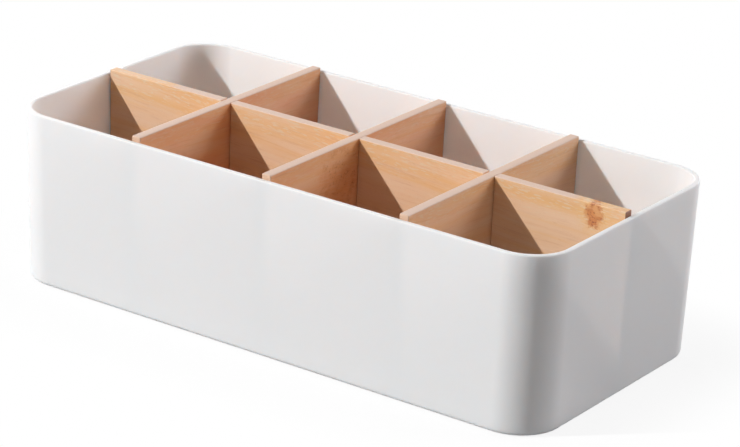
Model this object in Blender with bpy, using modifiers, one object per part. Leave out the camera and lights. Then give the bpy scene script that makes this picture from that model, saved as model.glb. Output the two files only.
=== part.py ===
"""Storage organizer: a moulded plastic tub with a lift-out grid of four wooden boards.

Metres, +Z up. The origin is the middle of the underside, on the surface that the tub stands on.
X runs along the length and -Y is the front. Each board's own origin is the middle of its lower
edge, on the vertical line that it is lifted along.
"""
import math

import bmesh
import bpy
from mathutils import Vector

# Tub, outside
TUB_LENGTH = 0.305
TUB_WIDTH = 0.150
TUB_HEIGHT = 0.087
DRAFT = math.radians(1.1)
CORNER_RADIUS = 0.022
FOOT_ROUND = 0.002

# Tub, inside and rim
WALL = 0.0027
FLOOR = 0.0024
FLOOR_ROUND = 0.0015
RIM_ROUND = 0.0006

# Tub, underside: a shallow panel inside the band that the tub stands on
STAND_BAND = 0.006
PANEL_DEPTH = 0.0008
PANEL_ROUND = 0.0003

# Boards
COLUMNS = 4
BOARD = 0.005
BOARD_PROUD = 0.0022
BOARD_EASE = 0.0005
HEEL_SPARE = 0.001

# Fits: the running gap at each seat, and the loose fit of one board across the other
SEAT_GAP = 0.0003
END_GAP = 0.0006
LAP_GAP = 0.0003
LAP_PLAY = 0.0006
LAP_SPARE = 0.0008

# Cuts run this far past the face that they open
OVERRUN = 0.004

# Steps in a quarter of a round
CORNER_STEPS = 14
EDGE_STEPS = 4
EASE_STEPS = 2
SHARP_ANGLE = math.radians(40)

# Colours of the surfaces, linear
PLASTIC_WHITE = (0.80, 0.80, 0.81, 1.0)
BEECH_GOLD = (0.70, 0.42, 0.20, 1.0)
BEECH_ROSE = (0.66, 0.38, 0.21, 1.0)
PLASTIC_ROUGHNESS = 0.38
WOOD_ROUGHNESS = 0.55

# Levels and places that follow from the sizes
FLOOR_TOP = PANEL_DEPTH + FLOOR
BOARD_FOOT = FLOOR_TOP + SEAT_GAP
BOARD_HEIGHT = TUB_HEIGHT + BOARD_PROUD - BOARD_FOOT
LAP_LEVEL = BOARD_HEIGHT / 2
SLOT_WIDTH = BOARD + 2 * LAP_GAP + LAP_PLAY
PITCH = TUB_LENGTH / COLUMNS
CROSS_PLACES = [(column - COLUMNS / 2) * PITCH for column in range(1, COLUMNS)]


def lean(height):
    """How far a wall stands in from its place at the rim, at a height above the table."""
    return (TUB_HEIGHT - height) * math.tan(DRAFT)


def outer_size(height, inset=0.0):
    """Length and width inside the drafted walls' outer faces, less an inset on each side."""
    step = 2 * (lean(height) + inset)
    return Vector((TUB_LENGTH - step, TUB_WIDTH - step))


def clear_start():
    """Empty the scene, so that only this object is in it."""
    for thing in list(bpy.data.objects):
        bpy.data.objects.remove(thing, do_unlink=True)


def new_collection(name):
    collection = bpy.data.collections.new(name)
    bpy.context.scene.collection.children.link(collection)
    return collection


def surface(name, colour, roughness):
    """A plain finish with the colour and gloss of one piece."""
    material = bpy.data.materials.new(name)
    material.use_nodes = True
    shader = material.node_tree.nodes["Principled BSDF"]
    shader.inputs["Base Color"].default_value = colour
    shader.inputs["Roughness"].default_value = roughness
    shader.inputs["Metallic"].default_value = 0.0
    material.diffuse_color = colour
    return material


def round_edges(bm, edges, radius, steps):
    """Turn edges into rounds of one radius."""
    bmesh.ops.bevel(bm, geom=edges, offset=radius, offset_type="OFFSET", segments=steps,
                    profile=0.5, affect="EDGES", clamp_overlap=True)


def finish_mesh(bm, name):
    mesh = bpy.data.meshes.new(name)
    bmesh.ops.recalc_face_normals(bm, faces=bm.faces)
    bm.to_mesh(mesh)
    bm.free()
    return mesh


def tapered_block(name, low, low_size, high, high_size, corner_radius, foot_round):
    """A block between two levels, with round upright corners and a round edge along its foot."""
    bm = bmesh.new()
    bmesh.ops.create_cube(bm, size=1)
    for vert in bm.verts:
        level, size = (high, high_size) if vert.co.z > 0 else (low, low_size)
        vert.co = (vert.co.x * size.x, vert.co.y * size.y, level)
    upright = [edge for edge in bm.edges if abs(edge.verts[0].co.z - edge.verts[1].co.z) > 0]
    round_edges(bm, upright, corner_radius, CORNER_STEPS)
    foot = min(bm.faces, key=lambda face: face.calc_center_median().z)
    round_edges(bm, foot.edges[:], foot_round, EDGE_STEPS)
    return finish_mesh(bm, name)


def place(name, mesh, collection, parent=None, location=(0, 0, 0), turn=0.0):
    """Put a mesh in the scene as one named object."""
    thing = bpy.data.objects.new(name, mesh)
    thing.location = location
    thing.rotation_euler.z = turn
    thing.parent = parent
    collection.objects.link(thing)
    return thing


def cut_away(piece, cutter):
    """Take the cutter's form out of a piece, and keep the cutter as a wire guide."""
    cutter.hide_render = True
    cutter.display_type = "WIRE"
    cut = piece.modifiers.new(cutter.name, "BOOLEAN")
    cut.operation = "DIFFERENCE"
    cut.solver = "EXACT"
    cut.object = cutter


def ease_edges(piece, radius, steps):
    """Round every sharp edge that the piece has so far."""
    ease = piece.modifiers.new("eased edges", "BEVEL")
    ease.limit_method = "ANGLE"
    ease.angle_limit = SHARP_ANGLE
    ease.width = radius
    ease.segments = steps


def shade(piece, material):
    """Smooth shading on the rounds, with the flats kept flat."""
    piece.data.materials.append(material)
    piece.data.shade_smooth()
    piece.data.set_sharp_from_angle(angle=SHARP_ANGLE)


def make_tub(parts, cutters):
    """The tub: an open shell with leaning walls, a round lip and a panel sunk into its underside."""
    body = tapered_block("tub", 0, outer_size(0), TUB_HEIGHT, outer_size(TUB_HEIGHT),
                         CORNER_RADIUS, FOOT_ROUND)
    tub = place("tub", body, parts)

    mouth = TUB_HEIGHT + OVERRUN
    hollow = tapered_block("tub_hollow", FLOOR_TOP, outer_size(FLOOR_TOP, WALL),
                           mouth, outer_size(mouth, WALL), CORNER_RADIUS - WALL, FLOOR_ROUND)
    cut_away(tub, place("tub_hollow", hollow, cutters, tub))

    band = FOOT_ROUND + STAND_BAND
    panel_size = outer_size(0, band)
    panel = tapered_block("tub_panel", -OVERRUN, panel_size, PANEL_DEPTH, panel_size,
                          CORNER_RADIUS - band, PANEL_ROUND)
    cut_away(tub, place("tub_panel", panel, cutters, tub))

    ease_edges(tub, RIM_ROUND, EDGE_STEPS)
    shade(tub, surface("satin white plastic", PLASTIC_WHITE, PLASTIC_ROUGHNESS))
    return tub


def board_mesh(name, foot_length, top_length):
    """A board on its long edge. Its ends lean with the walls, and its heels clear the floor's round."""
    bm = bmesh.new()
    bmesh.ops.create_cube(bm, size=1)
    for vert in bm.verts:
        level, length = (BOARD_HEIGHT, top_length) if vert.co.z > 0 else (0, foot_length)
        vert.co = (vert.co.x * length, vert.co.y * BOARD, level)
    foot = min(bm.faces, key=lambda face: face.calc_center_median().z)
    heels = [edge for edge in foot.edges if edge.verts[0].co.x == edge.verts[1].co.x]
    round_edges(bm, heels, FLOOR_ROUND + HEEL_SPARE, EDGE_STEPS)
    return finish_mesh(bm, name)


def room_between_walls(height_over_foot):
    """The length and width that a board can have inside the walls, at a height above its lower edge."""
    return outer_size(BOARD_FOOT + height_over_foot, WALL + END_GAP)


def cut_slot(board, cutters, name, place_along, low, high):
    """Cut one slot through a board's thickness, between two levels above its lower edge."""
    bm = bmesh.new()
    bmesh.ops.create_cube(bm, size=1)
    bmesh.ops.scale(bm, vec=(SLOT_WIDTH, BOARD + 2 * OVERRUN, high - low), verts=bm.verts)
    slot = place(name, finish_mesh(bm, name), cutters, board, (place_along, 0, (low + high) / 2))
    cut_away(board, slot)


def make_long_divider(tub, parts, cutters):
    """The long board, slotted from its top edge down to take each cross board."""
    mesh = board_mesh("long_divider", room_between_walls(0).x, room_between_walls(BOARD_HEIGHT).x)
    board = place("long_divider", mesh, parts, tub, (0, 0, BOARD_FOOT))
    ease_edges(board, BOARD_EASE, EASE_STEPS)
    for number, along in enumerate(CROSS_PLACES, start=1):
        # The play lies on the left of each cross board, which bears on the right of its slot
        cut_slot(board, cutters, f"long_slot_{number}", along - LAP_PLAY / 2,
                 LAP_LEVEL - LAP_SPARE / 2, BOARD_HEIGHT + OVERRUN)
    shade(board, surface("long divider wood", BEECH_GOLD, WOOD_ROUGHNESS))
    return board


def make_cross_divider(name, along, long_divider, parts, cutters):
    """A cross board, slotted from its lower edge up, so that its top edge runs on unbroken."""
    mesh = board_mesh(name, room_between_walls(0).y, room_between_walls(BOARD_HEIGHT).y)
    board = place(name, mesh, parts, long_divider, (along, 0, 0), math.pi / 2)
    ease_edges(board, BOARD_EASE, EASE_STEPS)
    cut_slot(board, cutters, f"{name}_slot", 0, -OVERRUN, LAP_LEVEL + LAP_SPARE / 2)
    shade(board, surface(f"{name} wood", BEECH_ROSE, WOOD_ROUGHNESS))
    return board


def cross_names():
    """Left, middle and right for three cross boards, or numbers for another count."""
    if len(CROSS_PLACES) == 3:
        return ["cross_divider_left", "cross_divider_middle", "cross_divider_right"]
    return [f"cross_divider_{number}" for number in range(1, len(CROSS_PLACES) + 1)]


clear_start()
organizer = new_collection("storage_organizer")
guides = new_collection("storage_organizer_cutters")
the_tub = make_tub(organizer, guides)
the_long_divider = make_long_divider(the_tub, organizer, guides)
for cross_name, cross_place in zip(cross_names(), CROSS_PLACES):
    make_cross_divider(cross_name, cross_place, the_long_divider, organizer, guides)
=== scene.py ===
import math

import bpy
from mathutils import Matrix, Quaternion, Vector


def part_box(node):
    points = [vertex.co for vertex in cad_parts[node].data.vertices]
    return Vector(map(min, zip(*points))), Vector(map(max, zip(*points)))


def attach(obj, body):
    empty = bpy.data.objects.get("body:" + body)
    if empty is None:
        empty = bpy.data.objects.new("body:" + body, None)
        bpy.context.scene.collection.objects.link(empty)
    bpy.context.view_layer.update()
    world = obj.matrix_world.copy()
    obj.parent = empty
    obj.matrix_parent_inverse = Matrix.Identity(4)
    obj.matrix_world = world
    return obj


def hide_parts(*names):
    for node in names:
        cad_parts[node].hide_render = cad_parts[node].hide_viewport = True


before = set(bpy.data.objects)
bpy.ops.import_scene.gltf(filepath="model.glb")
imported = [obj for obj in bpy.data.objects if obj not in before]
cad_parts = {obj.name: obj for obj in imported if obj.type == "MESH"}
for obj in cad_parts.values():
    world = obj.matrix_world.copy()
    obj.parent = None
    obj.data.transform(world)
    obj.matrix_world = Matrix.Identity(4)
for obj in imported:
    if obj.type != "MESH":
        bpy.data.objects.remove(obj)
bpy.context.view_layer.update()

# Camera
# The organizer is seen from its right front corner and from above, through a long lens.
# The image is 740 by 447 pixels, and the camera is rolled a little, as the photograph is.
CAMERA_PLACE = Vector((0.8007, -1.1621, 0.5839))
CAMERA_AIM = Vector((0.0061, 0.0049, 0.0450))
CAMERA_ROLL = math.radians(2.749)
LENS_MM = 154.0
SENSOR_MM = 36

camera = bpy.data.objects.new("camera", bpy.data.cameras.new("camera"))
bpy.context.scene.collection.objects.link(camera)
camera.data.lens = LENS_MM
camera.data.sensor_width = SENSOR_MM
camera.data.sensor_fit = "HORIZONTAL"
camera.location = CAMERA_PLACE
camera.rotation_mode = "QUATERNION"
looking = (CAMERA_AIM - CAMERA_PLACE).to_track_quat("-Z", "Y")
camera.rotation_quaternion = looking @ Quaternion((0, 0, 1), CAMERA_ROLL)
bpy.context.scene.camera = camera
bpy.context.scene.view_settings.view_transform = "Standard"

# Tub
# One shell of injection-moulded white plastic with a satin skin, open at the top. One section, from the
# sunk underside panel round the foot, up the wall, over the lip and down to the floor, runs round a rounded
# rectangle. The walls lean outwards, so that the tub leaves its mould. The floor and the panel close it.
tub_low, tub_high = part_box("tub")
WALL = 0.0027
FLOOR = 0.0024
DRAFT = math.radians(1.1)
CORNER_RADIUS = 0.022
FOOT_ROUND = 0.002
FLOOR_ROUND = 0.0015
RIM_ROUND = 0.0006
STAND_BAND = 0.006
PANEL_DEPTH = 0.0008
PANEL_ROUND = 0.0003
FLOOR_TOP = PANEL_DEPTH + FLOOR
CORNER_STEPS = 24
ROUND_STEPS = 5
WELD = 0.00001
SHARP_ANGLE = math.radians(40)

# Plastic: its colours and their shares, how light glows in it, and how rough and how deep its skin is
PLASTIC_WHITE = (0.87, 0.875, 0.88, 1.0)
PLASTIC_WARM = (0.86, 0.86, 0.865, 1.0)
PLASTIC_SPECK = (0.55, 0.54, 0.53, 1.0)
WARM_SHARE = 0.70
SPECK_SHARE = 0.08
SPECK_RANGE = (0.74, 0.80)
GLOW_DEPTH = 0.0032
GLOW_TINT = (1.0, 0.9, 0.85)
PLASTIC_SHEEN = 0.22
SKIN_ROUGHNESS = (0.36, 0.12)
CLOUD_ROUGHNESS = 0.06
LIP_GLOSS = 0.04
GLOSS_LIP = 0.0012
CLOUD_RELIEF = (0.25, 0.0006)
SKIN_RELIEF = (0.18, 0.00004)

# Patterns: the lengths of their spots along X, Y and Z, their seed, detail and roughness
SKIN = ((0.0004, 0.0004, 0.0004), 3.0, 3.0, 0.6)
FLOW_CLOUDS = ((0.045, 0.045, 0.030), 7.0, 3.0, 0.5)
SPECKS = ((0.0011, 0.0011, 0.0011), 11.0, 1.0, 0.5)


class Flow:
    """What leaves a node's socket. A sum or product of flows adds its Math node."""

    def __init__(self, tree, socket):
        self.tree = tree
        self.socket = socket

    def maths(self, operation, first, second):
        return self.tree.node("ShaderNodeMath", {"operation": operation}, {0: first, 1: second})

    def __add__(self, other):
        return self.maths("ADD", self, other)

    def __sub__(self, other):
        return self.maths("SUBTRACT", self, other)

    def __rsub__(self, other):
        return self.maths("SUBTRACT", other, self)

    def __mul__(self, other):
        return self.maths("MULTIPLY", self, other)

    def __truediv__(self, other):
        return self.maths("DIVIDE", self, other)

    __radd__ = __add__
    __rmul__ = __mul__


class Tree:
    """A tree of geometry or shader nodes that is being built."""

    def __init__(self, nodes):
        self.nodes = nodes

    def node(self, kind, settings=None, sockets=None, output=0):
        """Add a node: its settings come first, then the values or flows of its sockets."""
        made = self.nodes.nodes.new(kind)
        for name, value in (settings or {}).items():
            # An index switch starts with two items and gets the rest one by one
            if name == "items":
                for _ in range(value - len(made.index_switch_items)):
                    made.index_switch_items.new()
            else:
                setattr(made, name, value)
        for name, value in (sockets or {}).items():
            self.feed(made.inputs[name], value)
        return Flow(self, made.outputs[output])

    def feed(self, socket, value):
        for one in value if isinstance(value, list) else [value]:
            if isinstance(one, Flow):
                self.nodes.links.new(one.socket, socket)
            else:
                socket.default_value = one

    def ask(self, name, kind="NodeSocketFloat"):
        """Add a named input to the tree."""
        self.nodes.interface.new_socket(name, in_out="INPUT", socket_type=kind)
        return Flow(self, self.nodes.nodes.new("NodeGroupInput").outputs[name])

    def point(self, x, y, z):
        return self.node("ShaderNodeCombineXYZ", {}, {"X": x, "Y": y, "Z": z})

    def finish(self, shape, material):
        """End a geometry tree with real faces in one material."""
        self.nodes.interface.new_socket("Geometry", in_out="OUTPUT", socket_type="NodeSocketGeometry")
        real = self.node("GeometryNodeRealizeInstances", {}, {"Geometry": shape})
        smooth = self.node("GeometryNodeSetShadeSmooth", {}, {"Geometry": real})
        dressed = self.node("GeometryNodeSetMaterial", {}, {"Geometry": smooth, "Material": material})
        self.feed(self.nodes.nodes.new("NodeGroupOutput").inputs["Geometry"], dressed)


def geometry_tree(name):
    return Tree(bpy.data.node_groups.new(name, "GeometryNodeTree"))


def add_tree(carrier, tree, values):
    """Put a tree on an object, with a value for each of its named inputs."""
    modifier = carrier.modifiers.new(tree.nodes.name, "NODES")
    modifier.node_group = tree.nodes
    for socket in tree.nodes.interface.items_tree:
        if socket.in_out == "INPUT" and socket.name in values:
            modifier[socket.identifier] = values[socket.name]


def plain_mesh(carrier):
    """The mesh that an object's modifiers make, with the modifiers gone."""
    depsgraph = bpy.context.evaluated_depsgraph_get()
    mesh = bpy.data.meshes.new_from_object(carrier.evaluated_get(depsgraph), depsgraph=depsgraph)
    carrier.modifiers.clear()
    carrier.data = mesh
    return mesh


def make_piece(name, dress):
    """Make a piece from what dress() adds to it, with flat faces shaded flat and rounds shaded round."""
    piece = bpy.data.objects.new(name, bpy.data.meshes.new(name))
    bpy.context.scene.collection.objects.link(piece)
    dress(piece)
    plain_mesh(piece).set_sharp_from_angle(angle=SHARP_ANGLE)
    piece.modifiers.new("flats kept flat", "WEIGHTED_NORMAL").keep_sharp = True
    plain_mesh(piece)
    return piece


def tub_tree():
    """The tub's shell, from its sizes."""
    tree = geometry_tree("tub shell")
    length, width, height = tree.ask("Length"), tree.ask("Width"), tree.ask("Height")
    corner, wall, floor_top = tree.ask("Corner Radius"), tree.ask("Wall"), tree.ask("Floor Top")
    foot_round, floor_round = tree.ask("Foot Round"), tree.ask("Floor Round")
    rim_round, panel_round = tree.ask("Rim Round"), tree.ask("Panel Round")
    band, panel_depth, lean = tree.ask("Stand Band"), tree.ask("Panel Depth"), tree.ask("Lean")
    corner_steps = tree.ask("Corner Steps", "NodeSocketInt")
    round_steps = tree.ask("Round Steps", "NodeSocketInt")
    finish = tree.ask("Finish", "NodeSocketMaterial")

    rectangle = tree.node("GeometryNodeCurvePrimitiveQuadrilateral", {"mode": "RECTANGLE"},
                          {"Width": length, "Height": width})
    path = tree.node("GeometryNodeFilletCurve", {"mode": "POLY"},
                     {"Curve": rectangle, "Count": corner_steps, "Radius": corner})
    panel_edge = foot_round + band
    floor_edge = wall + floor_round
    corners = [
        (panel_edge + panel_round, panel_depth, 0.0),
        (panel_edge, panel_depth, panel_round),
        (panel_edge, 0.0, panel_round),
        (0.0, 0.0, foot_round),
        (0.0, height, rim_round),
        (wall, height, rim_round),
        (wall, floor_top, floor_round),
        (floor_edge, floor_top, 0.0),
    ]
    index = tree.node("GeometryNodeInputIndex")
    place_of, round_of = (
        tree.node("GeometryNodeIndexSwitch", {"data_type": kind, "items": len(corners)}, {0: index})
        for kind in ("VECTOR", "FLOAT"))
    for number, (inset, level, radius) in enumerate(corners, start=1):
        # A section that runs round a flat path has its own X outwards and its own Y downwards
        tree.feed(place_of.socket.node.inputs[number], tree.point(0.0 - inset, 0.0 - level, 0.0))
        tree.feed(round_of.socket.node.inputs[number], radius)
    points = tree.node("GeometryNodePoints", {}, {"Count": len(corners), "Position": place_of})
    section = tree.node("GeometryNodeFilletCurve", {"mode": "POLY"},
                        {"Curve": tree.node("GeometryNodePointsToCurves", {}, {"Points": points}),
                         "Count": round_steps, "Radius": round_of})
    swept = tree.node("GeometryNodeCurveToMesh", {}, {"Curve": path, "Profile Curve": section})
    walls = tree.node("GeometryNodeFlipFaces", {}, {"Mesh": swept})
    faces_at_edge = tree.node("GeometryNodeInputMeshEdgeNeighbors")
    place = tree.node("GeometryNodeInputPosition")
    x, y, z = (tree.node("ShaderNodeSeparateXYZ", {}, {0: place}, axis) for axis in "XYZ")

    def closing_face(level):
        """The flat face that closes the open end of the section at a level."""
        off_level = z.maths("ABSOLUTE", z - level, 0.0)
        open_end = z.maths("LESS_THAN", off_level, WELD) * z.maths("LESS_THAN", faces_at_edge, 2.0)
        outline = tree.node("GeometryNodeMeshToCurve", {}, {"Mesh": walls, "Selection": open_end})
        flat = tree.node("GeometryNodeFillCurve", {"mode": "NGONS"}, {"Curve": outline})
        return tree.node("GeometryNodeTransform", {},
                         {"Geometry": flat, "Translation": tree.point(0.0, 0.0, level)})

    floor = closing_face(floor_top)
    underside = tree.node("GeometryNodeFlipFaces", {}, {"Mesh": closing_face(panel_depth)})
    parts = tree.node("GeometryNodeJoinGeometry", {}, {"Geometry": [walls, floor, underside]})
    shell = tree.node("GeometryNodeMergeByDistance", {}, {"Geometry": parts, "Distance": WELD})

    # The walls lean inwards towards the foot, and the corners keep their radius all the way down
    shift = (height - z) * lean
    across = tree.node("ShaderNodeClamp", {}, {"Value": x / (length / 2 - corner), "Min": -1.0})
    along = tree.node("ShaderNodeClamp", {}, {"Value": y / (width / 2 - corner), "Min": -1.0})
    inwards = tree.point(across * shift * -1.0, along * shift * -1.0, 0.0)
    leaning = tree.node("GeometryNodeSetPosition", {}, {"Geometry": shell, "Offset": inwards})
    tree.finish(leaning, finish)
    return tree


def new_material(name, sheen):
    """A named material. Returns it with its tree, its shader and its Object coordinates."""
    material = bpy.data.materials.new(name)
    material.use_nodes = True
    tree = Tree(material.node_tree)
    shader = material.node_tree.nodes["Principled BSDF"]
    shader.inputs["Specular IOR Level"].default_value = sheen
    return material, tree, shader, tree.node("ShaderNodeTexCoord", output="Object")


def noise(tree, place, pattern, piece_seed=0.0):
    """Soft noise from 0 to 1 in a pattern, drawn anew for each piece's own seed."""
    lengths, seed, detail, roughness = pattern
    scaled = tree.node("ShaderNodeVectorMath", {"operation": "DIVIDE"}, {0: place, 1: lengths})
    return tree.node("ShaderNodeTexNoise", {"noise_dimensions": "4D"},
                     {"Vector": scaled, "W": piece_seed + seed, "Scale": 1.0,
                      "Detail": detail, "Roughness": roughness})


def step(tree, value, low, high):
    """A soft step from 0 at low to 1 at high."""
    return tree.node("ShaderNodeMapRange", {"interpolation_type": "SMOOTHSTEP"},
                     {"Value": value, "From Min": low, "From Max": high})


def tinted(tree, share, colour, other):
    """One colour turned into another by a share."""
    return tree.node("ShaderNodeMix", {"data_type": "RGBA"}, {0: share, 6: colour, 7: other}, 2)


def height_of(tree, place):
    return tree.node("ShaderNodeSeparateXYZ", {}, {0: place}, "Z")


def relief(tree, height, depth, **under):
    """A relief with a strength and a depth in metres, over any other that is given as its Normal."""
    strength, distance = depth
    return tree.node("ShaderNodeBump", {},
                     {"Strength": strength, "Distance": distance, "Height": height, **under})


def plastic_finish():
    """Satin white plastic: a sparked skin, faint flow clouds and a lip that the tool left glossier."""
    material, tree, shader, place = new_material("satin white plastic", PLASTIC_SHEEN)
    shader.inputs["Subsurface Weight"].default_value = 1.0
    shader.inputs["Subsurface Radius"].default_value = GLOW_TINT
    shader.inputs["Subsurface Scale"].default_value = GLOW_DEPTH
    skin = noise(tree, place, SKIN)
    clouds = noise(tree, place, FLOW_CLOUDS)
    specks = step(tree, noise(tree, place, SPECKS), *SPECK_RANGE)
    lip = step(tree, height_of(tree, place), tub_high.z - GLOSS_LIP, tub_high.z - GLOSS_LIP / 2)
    colour = tinted(tree, clouds * WARM_SHARE, PLASTIC_WHITE, PLASTIC_WARM)
    colour = tinted(tree, specks * SPECK_SHARE, colour, PLASTIC_SPECK)
    tree.feed(shader.inputs["Base Color"], colour)
    smoothest, roughened = SKIN_ROUGHNESS
    roughness = smoothest + skin * roughened + clouds * CLOUD_ROUGHNESS - lip * LIP_GLOSS
    tree.feed(shader.inputs["Roughness"], roughness)
    waves = relief(tree, clouds, CLOUD_RELIEF)
    tree.feed(shader.inputs["Normal"], relief(tree, skin, SKIN_RELIEF, Normal=waves))
    return material


def dress_tub(piece):
    size = tub_high - tub_low
    add_tree(piece, tub_tree(), {
        "Length": size.x, "Width": size.y, "Height": size.z, "Corner Radius": CORNER_RADIUS,
        "Wall": WALL, "Floor Top": FLOOR_TOP, "Foot Round": FOOT_ROUND, "Floor Round": FLOOR_ROUND,
        "Rim Round": RIM_ROUND, "Stand Band": STAND_BAND, "Panel Depth": PANEL_DEPTH,
        "Panel Round": PANEL_ROUND, "Lean": math.tan(DRAFT), "Corner Steps": CORNER_STEPS,
        "Round Steps": ROUND_STEPS, "Finish": plastic_finish(),
    })


tub = make_piece("tub_shell", dress_tub)
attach(tub, "tub")
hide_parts("tub")

# Long divider
# One planed board of pale wood that stands on edge along the middle of the tub. Its ends lean with the
# walls, its heels clear the floor's round, and three slots from the top take the cross boards. Its edges
# are eased by hand, its top edge carries a painted reflection, drawn paler and pinker as the bright light
# from above would leave it, and it has a knot near its right end.
long_low, long_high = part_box("long_divider")
BOARD = long_high.y - long_low.y
BOARD_HEIGHT = long_high.z - long_low.z
HEEL_SPARE = 0.001
HEEL_ROUND = FLOOR_ROUND + HEEL_SPARE
EASE = 0.0005
EASE_STEPS = 3
SLOT_EASE = 0.00012
SLOT_EASE_STEPS = 1
LAP_LEVEL = BOARD_HEIGHT / 2
LAP_GAP = 0.0003
LAP_PLAY = 0.0006
LAP_SPARE = 0.0008
SLOT_WIDTH = BOARD + 2 * LAP_GAP + LAP_PLAY
OVERRUN = 0.004
COLUMNS = 4
PITCH = (tub_high.x - tub_low.x) / COLUMNS

# Colours of the wood, its top edge's painted reflection, its sawn ends, whose dark brown on the long board
# is mostly painted shade, and its knots
WOOD_PALE = (0.86, 0.62, 0.43, 1.0)
WOOD_GOLD = (0.83, 0.50, 0.20, 1.0)
WOOD_ROSE = (0.82, 0.335, 0.165, 1.0)
WOOD_BROWN = (0.54, 0.22, 0.10, 1.0)
WOOD_FLECK = (0.82, 0.66, 0.48, 1.0)
# The top edge's pale colour is a painted reflection of the bright light from above
WOOD_PAINTED_SHEEN = (0.74, 0.56, 0.47, 1.0)
# Long board's sawn ends: end grain is a little darker, but this dark brown is mostly painted shade, the
# deep shadow in the gap at the tub's walls
PAINTED_END_SHADE = (0.22, 0.075, 0.035, 1.0)
END_PALE = (0.72, 0.48, 0.34, 1.0)
KNOT_ROSE = (0.66, 0.255, 0.075, 1.0)
KNOT_RED = (0.42, 0.12, 0.05, 1.0)
KNOT_DARK = (0.22, 0.06, 0.03, 1.0)

# Patterns of the grain along, through and up the board, and where each starts to show and shows fully
WAVES = ((0.055, 0.030, 0.040), 0.0, 2.0, 0.5)
BANDS = ((0.110, 0.020, 0.0060), 1.0, 4.0, 0.55)
STREAKS = ((0.026, 0.004, 0.0011), 2.0, 4.0, 0.65)
FIBRES = ((0.010, 0.0006, 0.00026), 3.0, 3.0, 0.6)
FLECKS = ((0.0042, 0.0015, 0.00075), 4.0, 1.0, 0.5)
PORES = ((0.0030, 0.0004, 0.00022), 5.0, 1.0, 0.5)
CLOUDS = ((0.040, 0.020, 0.014), 6.0, 3.0, 0.6)
BAND_RANGE = (0.40, 0.78)
CLOUD_RANGE = (0.30, 0.74)
STREAK_RANGE = (0.50, 0.76)
PALE_STREAK_RANGE = (0.46, 0.26)
FLECK_RANGE = (0.60, 0.69)
PORE_RANGE = (0.66, 0.74)

# How far the grain wanders and falls, how strongly each pattern colours the wood, and what its top adds
WANDER = 0.006
GRAIN_SLOPE = 0.06
GOLD_SHARE = 0.85
ROSE_SHARES = (0.28, 0.50)
STREAK_SHARE = 0.32
PALE_STREAK_SHARE = 0.24
FLECK_SHARE = 0.08
FIBRE_SHARE = 0.14
PORE_SHARE = 0.30
UPPER_DEPTHS = (0.016, 0.006)
UPPER_GOLD_SHIFT = 0.13
UPPER_FLECK_SHIFT = 0.05

# Roughness and relief of the planed and the open-pored wood, and the roughness of its top edge
WOOD_SHEEN = 0.80
PLANED_ROUGHNESS = 0.46
FIBRE_ROUGHNESS = 0.14
PORE_ROUGHNESS = 0.12
TOP_EDGE_ROUGHNESS = 0.08
PORE_SINK = 0.6
GRAIN_RELIEF = (0.30, 0.00012)

# Top edge and sawn ends: how pale the top edge's painted reflection is, how brown the ends are (on the long
# board mostly painted shade), and how the painted reflection stops short of the ends
PAINTED_SHEEN_SHARE = 0.85
END_SHARE = 0.90
SHEEN_STOPS = (0.040, 0.023)
SHEEN_TO_ENDS = (-0.020, -0.020)
SHEEN_STOP_BLEND = 0.008
SHEEN_STOP_RAGGEDNESS = 0.03

# Knots: patterns, distances from the middle in knot sizes, and shares
KNOT_SQUASH = 0.82
KNOT_RAGGEDNESS = 1.7
KNOT_EDGE = ((0.0026, 0.0026, 0.0022), 0.0, 4.0, 0.70)
KNOT_DOTS = ((0.0014, 0.0014, 0.0009), 1.0, 1.5, 0.5)
KNOT_STREAKS = ((0.0050, 0.0022, 0.0007), 2.0, 2.0, 0.5)
KNOT_CLUSTERS = ((0.0040, 0.0040, 0.0030), 3.0, 1.0, 0.5)
STAIN_REACH = (1.20, 0.75)
RING_INSIDE = (0.25, 0.62)
RING_OUTSIDE = (1.05, 0.72)
HALO_REACH = (2.20, 1.05)
CLUSTER_RANGE = (0.42, 0.58)
KNOT_STREAK_RANGE = (0.52, 0.64)
RED_DOT_RANGE = (0.52, 0.62)
DARK_DOT_RANGE = (0.63, 0.70)
HALO_SHARE = 0.50
HALO_STREAK_SHARE = 0.60
STAIN_SHARES = (0.64, 0.30)
RING_SHARE = 0.30
RED_DOT_SHARE = 0.80
DARK_DOT_SHARE = 0.70


def blank_tree():
    """A board standing on edge along X, with leaning ends and round heels."""
    tree = geometry_tree("board blank")
    foot, top, height = tree.ask("Foot Length"), tree.ask("Top Length"), tree.ask("Height")
    thickness, heel = tree.ask("Thickness"), tree.ask("Heel Round")
    steps, finish = tree.ask("Round Steps", "NodeSocketInt"), tree.ask("Finish", "NodeSocketMaterial")
    outline = tree.node("GeometryNodeCurvePrimitiveQuadrilateral", {"mode": "TRAPEZOID"},
                        {"Height": height, "Bottom Width": foot, "Top Width": top, "Offset": 0.0})
    level = tree.node("ShaderNodeSeparateXYZ", {}, {0: tree.node("GeometryNodeInputPosition")}, "Y")
    heels = level.maths("LESS_THAN", level, 0.0) * heel
    rounded = tree.node("GeometryNodeFilletCurve", {"mode": "POLY"},
                        {"Curve": outline, "Count": steps, "Radius": heels})
    face = tree.node("GeometryNodeFillCurve", {"mode": "NGONS"}, {"Curve": rounded})
    prism = tree.node("GeometryNodeExtrudeMesh", {"mode": "FACES"},
                      {"Mesh": face, "Offset Scale": thickness, "Individual": False})
    back = tree.node("GeometryNodeFlipFaces", {}, {"Mesh": face})
    parts = tree.node("GeometryNodeJoinGeometry", {}, {"Geometry": [prism, back]})
    closed = tree.node("GeometryNodeMergeByDistance", {}, {"Geometry": parts, "Distance": WELD})
    stood = tree.node("GeometryNodeTransform", {},
                      {"Geometry": closed, "Translation": tree.point(0.0, thickness / 2, height / 2),
                       "Rotation": (math.pi / 2, 0.0, 0.0)})
    tree.finish(stood, finish)
    return tree


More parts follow.
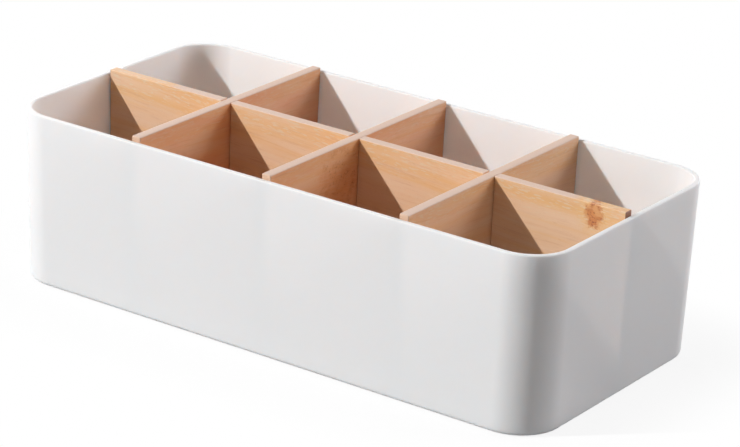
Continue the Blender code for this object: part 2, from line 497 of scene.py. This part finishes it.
def slots_tree():
    """Slots of one width at one pitch, cut through a board, which is then put in its place."""
    tree = geometry_tree("lap slots")
    board, count = tree.ask("Board", "NodeSocketGeometry"), tree.ask("Slot Count", "NodeSocketInt")
    pitch, shift = tree.ask("Slot Pitch"), tree.ask("Slot Shift")
    width, depth = tree.ask("Slot Width"), tree.ask("Cut Depth")
    low, high = tree.ask("Slot Low"), tree.ask("Slot High")
    place, turn = tree.ask("Place", "NodeSocketVector"), tree.ask("Turn")
    finish = tree.ask("Finish", "NodeSocketMaterial")
    first = shift - (count - 1) * pitch / 2
    line = tree.node("GeometryNodeMeshLine", {"mode": "OFFSET"},
                     {"Count": count, "Start Location": tree.point(first, 0.0, (low + high) / 2),
                      "Offset": tree.point(pitch, 0.0, 0.0)})
    saw = tree.node("GeometryNodeMeshCube", {}, {"Size": tree.point(width, depth, high - low)})
    cuts = tree.node("GeometryNodeRealizeInstances", {},
                     {0: tree.node("GeometryNodeInstanceOnPoints", {}, {"Points": line, "Instance": saw})})
    slotted = tree.node("GeometryNodeMeshBoolean", {"operation": "DIFFERENCE", "solver": "EXACT"},
                        {"Mesh 1": board, "Mesh 2": cuts})
    placed = tree.node("GeometryNodeTransform", {},
                       {"Geometry": slotted, "Translation": place, "Rotation": tree.point(0.0, 0.0, turn)})
    tree.finish(placed, finish)
    return tree


def knotted(tree, colour, place, bent, knot):
    """A colour with a knot: a ragged stain with a red ring, dots, and a golden halo with pale streaks."""
    along, up, size, depth, seed = knot
    offset = tree.node("ShaderNodeVectorMath", {"operation": "SUBTRACT"}, {0: place, 1: (along, 0.0, up)})
    squeezed = tree.node("ShaderNodeVectorMath", {"operation": "MULTIPLY"},
                         {0: offset, 1: (1 / size, 0.0, KNOT_SQUASH / size)})
    ragged = (noise(tree, place, KNOT_EDGE, seed) - 0.5) * KNOT_RAGGEDNESS
    distance = tree.node("ShaderNodeVectorMath", {"operation": "LENGTH"}, {0: squeezed}, "Value") + ragged
    stain = step(tree, distance, *STAIN_REACH)
    ring = step(tree, distance, *RING_INSIDE) * step(tree, distance, *RING_OUTSIDE)
    halo = step(tree, distance, *HALO_REACH)
    clusters = step(tree, noise(tree, place, KNOT_CLUSTERS, seed), *CLUSTER_RANGE)
    streaks = step(tree, noise(tree, bent, KNOT_STREAKS, seed), *KNOT_STREAK_RANGE)
    dots = noise(tree, place, KNOT_DOTS, seed)
    red_dots = stain * clusters * step(tree, dots, *RED_DOT_RANGE)
    dark_dots = stain * clusters * step(tree, dots, *DARK_DOT_RANGE)
    least, clustered = STAIN_SHARES
    colour = tinted(tree, halo * HALO_SHARE * depth, colour, WOOD_GOLD)
    colour = tinted(tree, halo * streaks * HALO_STREAK_SHARE * depth, colour, WOOD_FLECK)
    colour = tinted(tree, stain * (clusters * clustered + least) * depth, colour, KNOT_ROSE)
    colour = tinted(tree, ring * clusters * RING_SHARE * depth, colour, KNOT_RED)
    colour = tinted(tree, red_dots * RED_DOT_SHARE * depth, colour, KNOT_RED)
    return tinted(tree, dark_dots * DARK_DOT_SHARE * depth, colour, KNOT_DARK)


def wood_finish(name, start, turn, length, plank, end_tone_and_shade, sheen_stops):
    """Pale planed wood with its grain along the board.

    start is the middle of the board's lower edge and turn its angle about Z. plank holds its seed, how
    rosy it is, how flecked near its top, and each knot's place along and up the board, size, depth and
    seed. The last argument is how far from its two ends the top edge is left without its painted
    reflection, a paler tone that stands in for the light from above. The colour for the sawn ends is the
    cross boards' own pale end grain, and on the long board mostly painted shade.
    """
    material, tree, shader, where = new_material(name, WOOD_SHEEN)
    seed, rosy, flecked, knots = plank
    place = tree.node("ShaderNodeMapping", {"vector_type": "TEXTURE"},
                      {"Vector": where, "Location": start, "Rotation": (0.0, 0.0, turn)})
    along = tree.node("ShaderNodeSeparateXYZ", {}, {0: place}, "X")
    up = height_of(tree, place)

    # The fibres wander up and down a little as they run along the board, and fall towards its far end
    wander = (noise(tree, place, WAVES, seed) - 0.5) * WANDER
    bent = tree.node("ShaderNodeVectorMath", {"operation": "ADD"},
                     {0: place, 1: tree.point(0.0, 0.0, wander + along * GRAIN_SLOPE)})
    upper_start, upper_full = UPPER_DEPTHS
    upper = step(tree, up, BOARD_HEIGHT - upper_start, BOARD_HEIGHT - upper_full)
    bands = step(tree, noise(tree, bent, BANDS, seed) + upper * UPPER_GOLD_SHIFT, *BAND_RANGE)
    streaks = noise(tree, bent, STREAKS, seed)
    fibres = noise(tree, bent, FIBRES, seed)
    flecks = step(tree, noise(tree, bent, FLECKS, seed) + upper * UPPER_FLECK_SHIFT, *FLECK_RANGE)
    pores = step(tree, noise(tree, bent, PORES, seed), *PORE_RANGE)
    clouds = noise(tree, place, CLOUDS, seed)

    rose_least, rose_clouded = ROSE_SHARES
    rose = (step(tree, clouds, *CLOUD_RANGE) * rose_clouded + rose_least) * rosy
    colour = tinted(tree, bands * GOLD_SHARE, WOOD_PALE, WOOD_GOLD)
    colour = tinted(tree, rose, colour, WOOD_ROSE)
    colour = tinted(tree, step(tree, streaks, *STREAK_RANGE) * STREAK_SHARE, colour, WOOD_BROWN)
    colour = tinted(tree, step(tree, streaks, *PALE_STREAK_RANGE) * PALE_STREAK_SHARE, colour, WOOD_FLECK)
    colour = tinted(tree, flecks * (upper * flecked + FLECK_SHARE), colour, WOOD_FLECK)
    colour = tinted(tree, fibres * FIBRE_SHARE, colour, WOOD_BROWN)
    colour = tinted(tree, pores * PORE_SHARE, colour, WOOD_BROWN)
    for knot in knots:
        colour = knotted(tree, colour, place, bent, knot)

    # The top edge carries a painted reflection, drawn paler up to a ragged stop short of the ends, and the
    # sawn
    # ends get their colour: their own tone on the cross boards, mostly painted shade on the long board
    from_top = step(tree, up, BOARD_HEIGHT - EASE, BOARD_HEIGHT - EASE / 2)
    ragged_along = along + (clouds - 0.5) * SHEEN_STOP_RAGGEDNESS
    from_left, from_right = ragged_along + length / 2, length / 2 - ragged_along
    left_sheen_stop, right_sheen_stop = sheen_stops
    # Painted reflection: the top edge is drawn paler and gets a little rougher, stopping short of the ends
    top_edge_painted_sheen = (from_top * step(tree, from_left, left_sheen_stop, left_sheen_stop + SHEEN_STOP_BLEND)
              * step(tree, from_right, right_sheen_stop, right_sheen_stop + SHEEN_STOP_BLEND))
    colour = tinted(tree, top_edge_painted_sheen * PAINTED_SHEEN_SHARE, colour, WOOD_PAINTED_SHEEN)
    # Sawn ends: on the long board their dark brown is mostly painted shade
    end_line = length / 2 - EASE - (BOARD_HEIGHT - up) * math.tan(DRAFT)
    past_end_line = along.maths("ABSOLUTE", along, 0.0) - end_line
    colour = tinted(tree, step(tree, past_end_line, 0.0, EASE / 2) * END_SHARE, colour, end_tone_and_shade)
    tree.feed(shader.inputs["Base Color"], colour)
    planed = PLANED_ROUGHNESS + fibres * FIBRE_ROUGHNESS
    tree.feed(shader.inputs["Roughness"], planed + pores * PORE_ROUGHNESS + top_edge_painted_sheen * TOP_EDGE_ROUGHNESS)
    tree.feed(shader.inputs["Normal"],
              relief(tree, (streaks + fibres) / 2 - pores * PORE_SINK, GRAIN_RELIEF))
    return material


def ease_edges(piece, width, steps):
    """Round every sharp edge that the piece has so far."""
    ease = piece.modifiers.new("eased edges", "BEVEL")
    ease.limit_method = "ANGLE"
    ease.angle_limit = SHARP_ANGLE
    ease.width = width
    ease.segments = steps


def dress_board(start, turn, length, slots, finish):
    """How a board is made: the planed blank, its edges eased, its slots cut, and their edges broken."""
    def dress(piece):
        add_tree(piece, blank_tree(), {
            "Foot Length": length - 2 * BOARD_HEIGHT * math.tan(DRAFT), "Top Length": length,
            "Height": BOARD_HEIGHT, "Thickness": BOARD, "Heel Round": HEEL_ROUND,
            "Round Steps": ROUND_STEPS, "Finish": finish,
        })
        ease_edges(piece, EASE, EASE_STEPS)
        count, low, high, shift = slots
        add_tree(piece, slots_tree(), {
            "Slot Count": count, "Slot Pitch": PITCH, "Slot Shift": shift, "Slot Width": SLOT_WIDTH,
            "Cut Depth": BOARD + 2 * OVERRUN, "Slot Low": low, "Slot High": high,
            "Place": start, "Turn": turn, "Finish": finish,
        })
        ease_edges(piece, SLOT_EASE, SLOT_EASE_STEPS)
    return dress


# The long plank: its seed, how rosy and how flecked it is, and its knot
LONG_PLANK = (95.0, 0.20, 0.50, [(0.1327, 0.0803, 0.0050, 1.0, 9.0)])
long_start = Vector((0.0, 0.0, long_low.z))
long_length = long_high.x - long_low.x
# Its sawn ends are drawn dark brown, mostly as painted shade
long_wood = wood_finish("long board wood", long_start, 0.0, long_length, LONG_PLANK, PAINTED_END_SHADE, SHEEN_STOPS)
long_slots = (COLUMNS - 1, LAP_LEVEL - LAP_SPARE / 2, BOARD_HEIGHT + OVERRUN, -LAP_PLAY / 2)
long_board = make_piece("long_board", dress_board(long_start, 0.0, long_length, long_slots, long_wood))
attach(long_board, "long_divider")
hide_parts("long_divider")

# Cross dividers
# Three shorter boards of the same wood, mostly rosier, that stand across the tub. Their extra rose is
# partly their own tone and partly painted shade, the deep red cast that their shaded faces take on. Each
# has one slot from below, so its pale top edge, with its painted reflection, runs on unbroken over the long
# board, and each is cut from another plank.
CROSS_PLANKS = {
    "left": (13.0, 1.00, 0.15, []),
    # The middle board's faint rosy stain is painted shade, a gentle darkening across its face; only its few
    # dark dots are the wood's own
    "middle": (29.0, 1.00, 0.15, [(-0.018, 0.0690, 0.0150, 0.35, 36.0)]),
    "right": (41.0, 0.60, 0.25, []),
}
ACROSS = math.pi / 2
cross_slots = (1, -OVERRUN, LAP_LEVEL + LAP_SPARE / 2, 0.0)

for side, plank in CROSS_PLANKS.items():
    node = f"cross_divider_{side}"
    low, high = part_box(node)
    start = Vector(((low.x + high.x) / 2, 0.0, low.z))
    length = high.y - low.y
    wood = wood_finish(f"{side} cross board wood", start, ACROSS, length, plank, END_PALE, SHEEN_TO_ENDS)
    board = make_piece(f"cross_board_{side}", dress_board(start, ACROSS, length, cross_slots, wood))
    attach(board, node)
    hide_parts(node)

# Floor
# A pale sheet that the tub stands on. It shows white and runs out into the white world round it, and near
# the tub it keeps the tub's soft shadow.
FLOOR_SIZE = 5.0
FLOOR_PALE = (0.42, 0.42, 0.42, 1.0)
WHITE = (1.0, 1.0, 1.0, 1.0)
SHADOW_KEPT = 0.14
SHADOW_REACH = 0.060
FLOOR_DROP = 0.0002


def seen_or_mirrored(tree):
    """1 for the rays from the camera, from a gloss or through glass, and 0 for the others."""
    from_camera = tree.node("ShaderNodeLightPath", output="Is Camera Ray")
    from_gloss = tree.node("ShaderNodeLightPath", output="Is Glossy Ray")
    through_glass = tree.node("ShaderNodeLightPath", output="Is Transmission Ray")
    any_way = from_camera + from_gloss + through_glass
    return any_way.maths("MINIMUM", any_way, 1.0)


def floor_finish():
    material = bpy.data.materials.new("pale floor")
    material.use_nodes = True
    material.node_tree.nodes.clear()
    tree = Tree(material.node_tree)
    seen = seen_or_mirrored(tree)
    sheet = tree.node("ShaderNodeBsdfDiffuse", {}, {"Color": tinted(tree, seen, FLOOR_PALE, WHITE)})
    glow = tree.node("ShaderNodeEmission", {}, {"Color": WHITE, "Strength": 1.0})

    # The shadow that is kept fades with the distance from the tub's round-cornered outline
    place = tree.node("ShaderNodeTexCoord", output="Object")
    size = tub_high - tub_low
    corner_middle = (size.x / 2 - CORNER_RADIUS, size.y / 2 - CORNER_RADIUS, 0.0)
    beside = tree.node("ShaderNodeVectorMath", {"operation": "ABSOLUTE"}, {0: place})
    beside = tree.node("ShaderNodeVectorMath", {"operation": "SUBTRACT"}, {0: beside, 1: corner_middle})
    beside = tree.node("ShaderNodeVectorMath", {"operation": "MAXIMUM"}, {0: beside, 1: (0.0, 0.0, 0.0)})
    from_middle = tree.node("ShaderNodeVectorMath", {"operation": "LENGTH"}, {0: beside}, "Value")
    far = step(tree, from_middle - CORNER_RADIUS, 0.0, SHADOW_REACH)
    share = seen * (1.0 - (1.0 - far) * SHADOW_KEPT)
    mixed = tree.node("ShaderNodeMixShader", {}, {0: share, 1: sheet, 2: glow})
    output = material.node_tree.nodes.new("ShaderNodeOutputMaterial")
    tree.feed(output.inputs["Surface"], mixed)
    return material


def floor_tree():
    tree = geometry_tree("floor sheet")
    size, finish = tree.ask("Size"), tree.ask("Finish", "NodeSocketMaterial")
    sheet = tree.node("GeometryNodeMeshGrid", {}, {"Size X": size, "Size Y": size})
    lowered = tree.node("GeometryNodeTransform", {},
                        {"Geometry": sheet, "Translation": (0.0, 0.0, -FLOOR_DROP)})
    tree.finish(lowered, finish)
    return tree


floor = bpy.data.objects.new("floor", bpy.data.meshes.new("floor"))
bpy.context.scene.collection.objects.link(floor)
add_tree(floor, floor_tree(), {"Size": FLOOR_SIZE, "Finish": floor_finish()})
plain_mesh(floor)

# Light
# A small hard lamp at the upper left draws the crisp slanting shadows, and a large softbox above and behind
# the right end fills them. Three weak low softboxes, behind, at the left and in front, stand in for the
# white sweep round the table, and the white world lights almost nothing.
LIT_MIDDLE = Vector((0.0, 0.0, 0.05))
WORLD_LIGHT = 0.03

# Each lamp's azimuth from the front, elevation, distance, size, power, colour and shape
LAMPS = {
    "key_lamp": (-41.0, 36.0, 4.0, 0.10, 149.0, (1.0, 1.0, 1.0), "DISK"),
    "fill_softbox": (135.0, 25.0, 3.0, 1.6, 49.0, (1.0, 0.98, 1.0), "SQUARE"),
    "back_softbox": (180.0, 5.0, 3.0, 0.5, 24.0, (0.97, 0.98, 1.0), "SQUARE"),
    "side_softbox": (-130.0, 3.0, 3.0, 0.5, 42.0, (1.0, 1.0, 1.0), "SQUARE"),
    "front_softbox": (-10.0, 8.0, 3.0, 0.8, 11.0, (1.0, 1.0, 1.0), "SQUARE"),
}


def add_lamp(name, azimuth, elevation, distance, size, power, colour, shape):
    lamp = bpy.data.lights.new(name, "AREA")
    lamp.shape = shape
    lamp.size = size
    lamp.energy = power
    lamp.color = colour
    across, rise = math.radians(azimuth), math.radians(elevation)
    away = Vector((math.sin(across) * math.cos(rise), -math.cos(across) * math.cos(rise), math.sin(rise)))
    thing = bpy.data.objects.new(name, lamp)
    bpy.context.scene.collection.objects.link(thing)
    thing.location = LIT_MIDDLE + away * distance
    thing.rotation_mode = "QUATERNION"
    thing.rotation_quaternion = away.to_track_quat("Z", "Y")
    thing.visible_camera = False


for name, values in LAMPS.items():
    add_lamp(name, *values)

world = bpy.data.worlds.new("studio")
bpy.context.scene.world = world
world.use_nodes = True
world.node_tree.nodes.clear()
sky = Tree(world.node_tree)
soft = sky.node("ShaderNodeBackground", {}, {"Color": WHITE, "Strength": WORLD_LIGHT})
white = sky.node("ShaderNodeBackground", {}, {"Color": WHITE, "Strength": 1.0})
both = sky.node("ShaderNodeMixShader", {}, {0: seen_or_mirrored(sky), 1: soft, 2: white})
sky.feed(world.node_tree.nodes.new("ShaderNodeOutputWorld").inputs["Surface"], both)
